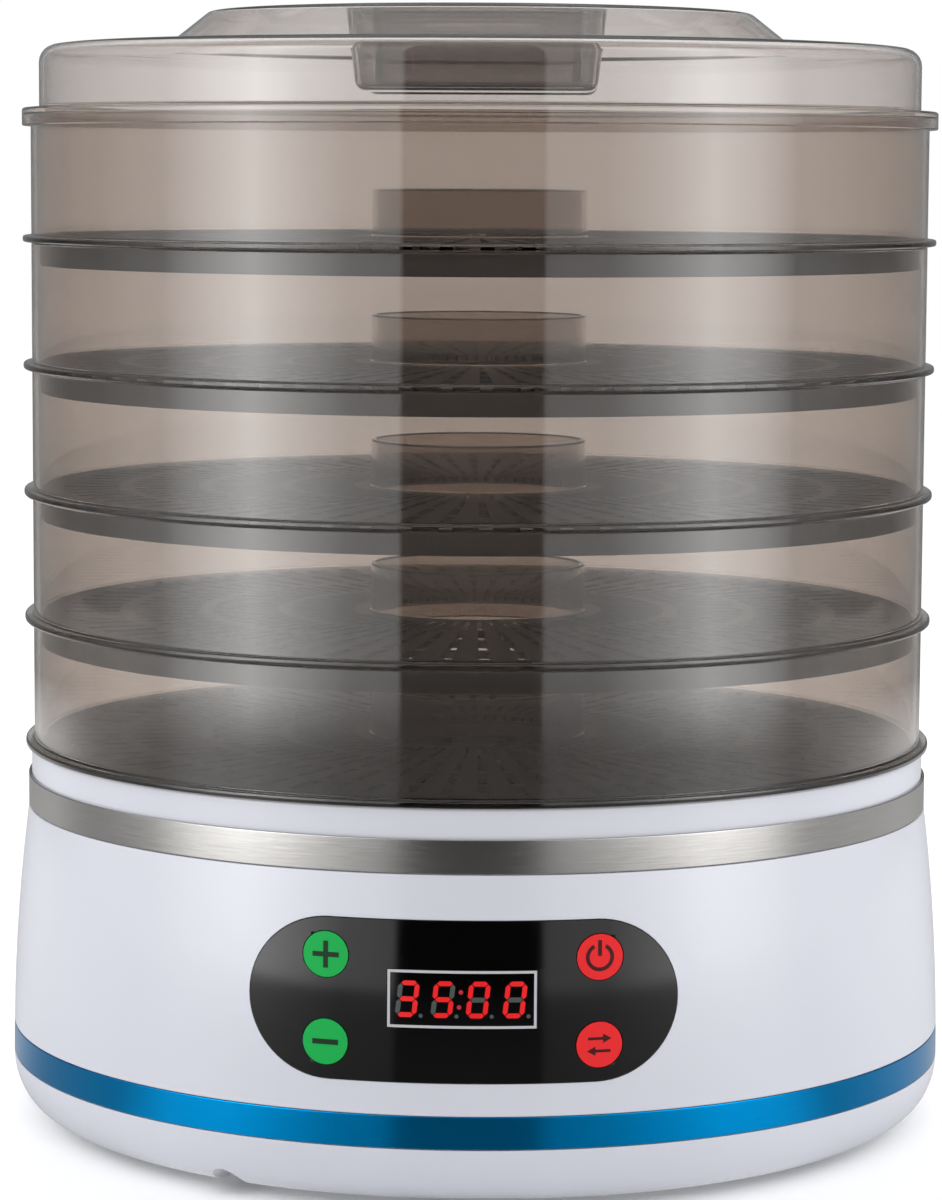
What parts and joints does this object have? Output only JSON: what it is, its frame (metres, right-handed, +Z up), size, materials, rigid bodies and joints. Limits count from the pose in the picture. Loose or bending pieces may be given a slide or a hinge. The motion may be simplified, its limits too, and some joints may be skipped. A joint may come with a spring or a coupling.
{
  "type": "food dehydrator",
  "caption": "Round countertop food dehydrator with stacked smoked clear trays, a lid with finger pockets, and a white base with a fan, heater and control panel.",
  "frame": {"origin": "on the floor, at the machine's vertical axis", "axes": "+Z up along the stack, -Y out of the control panel, +X to the right of someone facing it"},
  "size_m": [0.3296, 0.3296, 0.3875],
  "materials": {
    "white_plastic": "glossy white moulded plastic",
    "brushed_band": "steel brushed round the band",
    "blue_metal": "metallic blue foil",
    "dark_plastic": "matt black moulded plastic",
    "rubber": "dark grey rubber",
    "plated_metal": "plain plated sheet and turned parts",
    "black_panel": "high-gloss black film",
    "display_window": "tinted clear window",
    "circuit_board": "green lacquered board",
    "brass_parts": "turned brass",
    "heater_metal": "oxidised heater sheath",
    "mica_sheet": "mica sheet",
    "blue_case": "moulded case",
    "green_button": "satin green key",
    "red_button": "satin red key",
    "smoked_plastic": "clear plastic with a warm grey smoke tint"
  },
  "bodies": {
    "base": {"base_housing": "white_plastic", "bottom_cover": "white_plastic", "steel_band": "brushed_band", "blue_stripe": "blue_metal", "outlet_grille": "dark_plastic", "cord_gland": "rubber", "cover_screw_1": "plated_metal", "cover_screw_2": "plated_metal", "cover_screw_3": "plated_metal", "cover_screw_4": "plated_metal", "rubber_foot_1": "rubber", "rubber_foot_2": "rubber", "rubber_foot_3": "rubber", "rubber_foot_4": "rubber", "control_panel": "black_panel", "display_lens": "display_window", "led_display": "dark_plastic", "control_board": "circuit_board", "plus_switch": "dark_plastic", "minus_switch": "dark_plastic", "power_switch": "dark_plastic", "mode_switch": "dark_plastic", "air_duct": "plated_metal", "motor_bracket": "plated_metal", "fan_motor": "dark_plastic", "motor_bushing": "brass_parts", "heater_coil": "heater_metal", "heater_frame": "mica_sheet", "thermostat": "plated_metal", "thermal_fuse": "plated_metal", "power_board": "circuit_board", "relay": "blue_case", "filter_capacitor": "mica_sheet"},
    "fan": {"motor_shaft": "plated_metal", "fan_impeller": "dark_plastic", "fan_nut": "brass_parts"},
    "plus_button": {"plus_button": "green_button"},
    "minus_button": {"minus_button": "green_button"},
    "power_button": {"power_button": "red_button"},
    "mode_button": {"mode_button": "red_button"},
    "tray_1": {"tray_1": "smoked_plastic"},
    "tray_2": {"tray_2": "smoked_plastic"},
    "tray_3": {"tray_3": "smoked_plastic"},
    "tray_4": {"tray_4": "smoked_plastic"},
    "tray_5": {"tray_5": "smoked_plastic"},
    "lid": {"lid": "smoked_plastic"}
  },
  "joints": [
    {"name": "fan_spin", "type": "hinge", "parent": "base", "child": "fan", "pos_m": [0, 0, 0.058], "axis": [0, 0, 1], "continuous": true},
    {"name": "plus_press", "type": "slide", "parent": "base", "child": "plus_button", "axis": [0, 1, 0], "range_m": [0, 0.0008], "stiffness_N_per_m": 400},
    {"name": "minus_press", "type": "slide", "parent": "base", "child": "minus_button", "axis": [0, 1, 0], "range_m": [0, 0.0008], "stiffness_N_per_m": 400},
    {"name": "power_press", "type": "slide", "parent": "base", "child": "power_button", "axis": [0, 1, 0], "range_m": [0, 0.0008], "stiffness_N_per_m": 400},
    {"name": "mode_press", "type": "slide", "parent": "base", "child": "mode_button", "axis": [0, 1, 0], "range_m": [0, 0.0008], "stiffness_N_per_m": 400},
    {"name": "tray_1_lift", "type": "slide", "parent": "base", "child": "tray_1", "axis": [0, 0, 1], "range_m": [0, 0.06]},
    {"name": "tray_2_lift", "type": "slide", "parent": "tray_1", "child": "tray_2", "axis": [0, 0, 1], "range_m": [0, 0.06]},
    {"name": "tray_3_lift", "type": "slide", "parent": "tray_2", "child": "tray_3", "axis": [0, 0, 1], "range_m": [0, 0.06]},
    {"name": "tray_4_lift", "type": "slide", "parent": "tray_3", "child": "tray_4", "axis": [0, 0, 1], "range_m": [0, 0.06]},
    {"name": "tray_5_lift", "type": "slide", "parent": "tray_4", "child": "tray_5", "axis": [0, 0, 1], "range_m": [0, 0.06]},
    {"name": "lid_lift", "type": "slide", "parent": "tray_5", "child": "lid", "axis": [0, 0, 1], "range_m": [0, 0.06]}
  ]
}
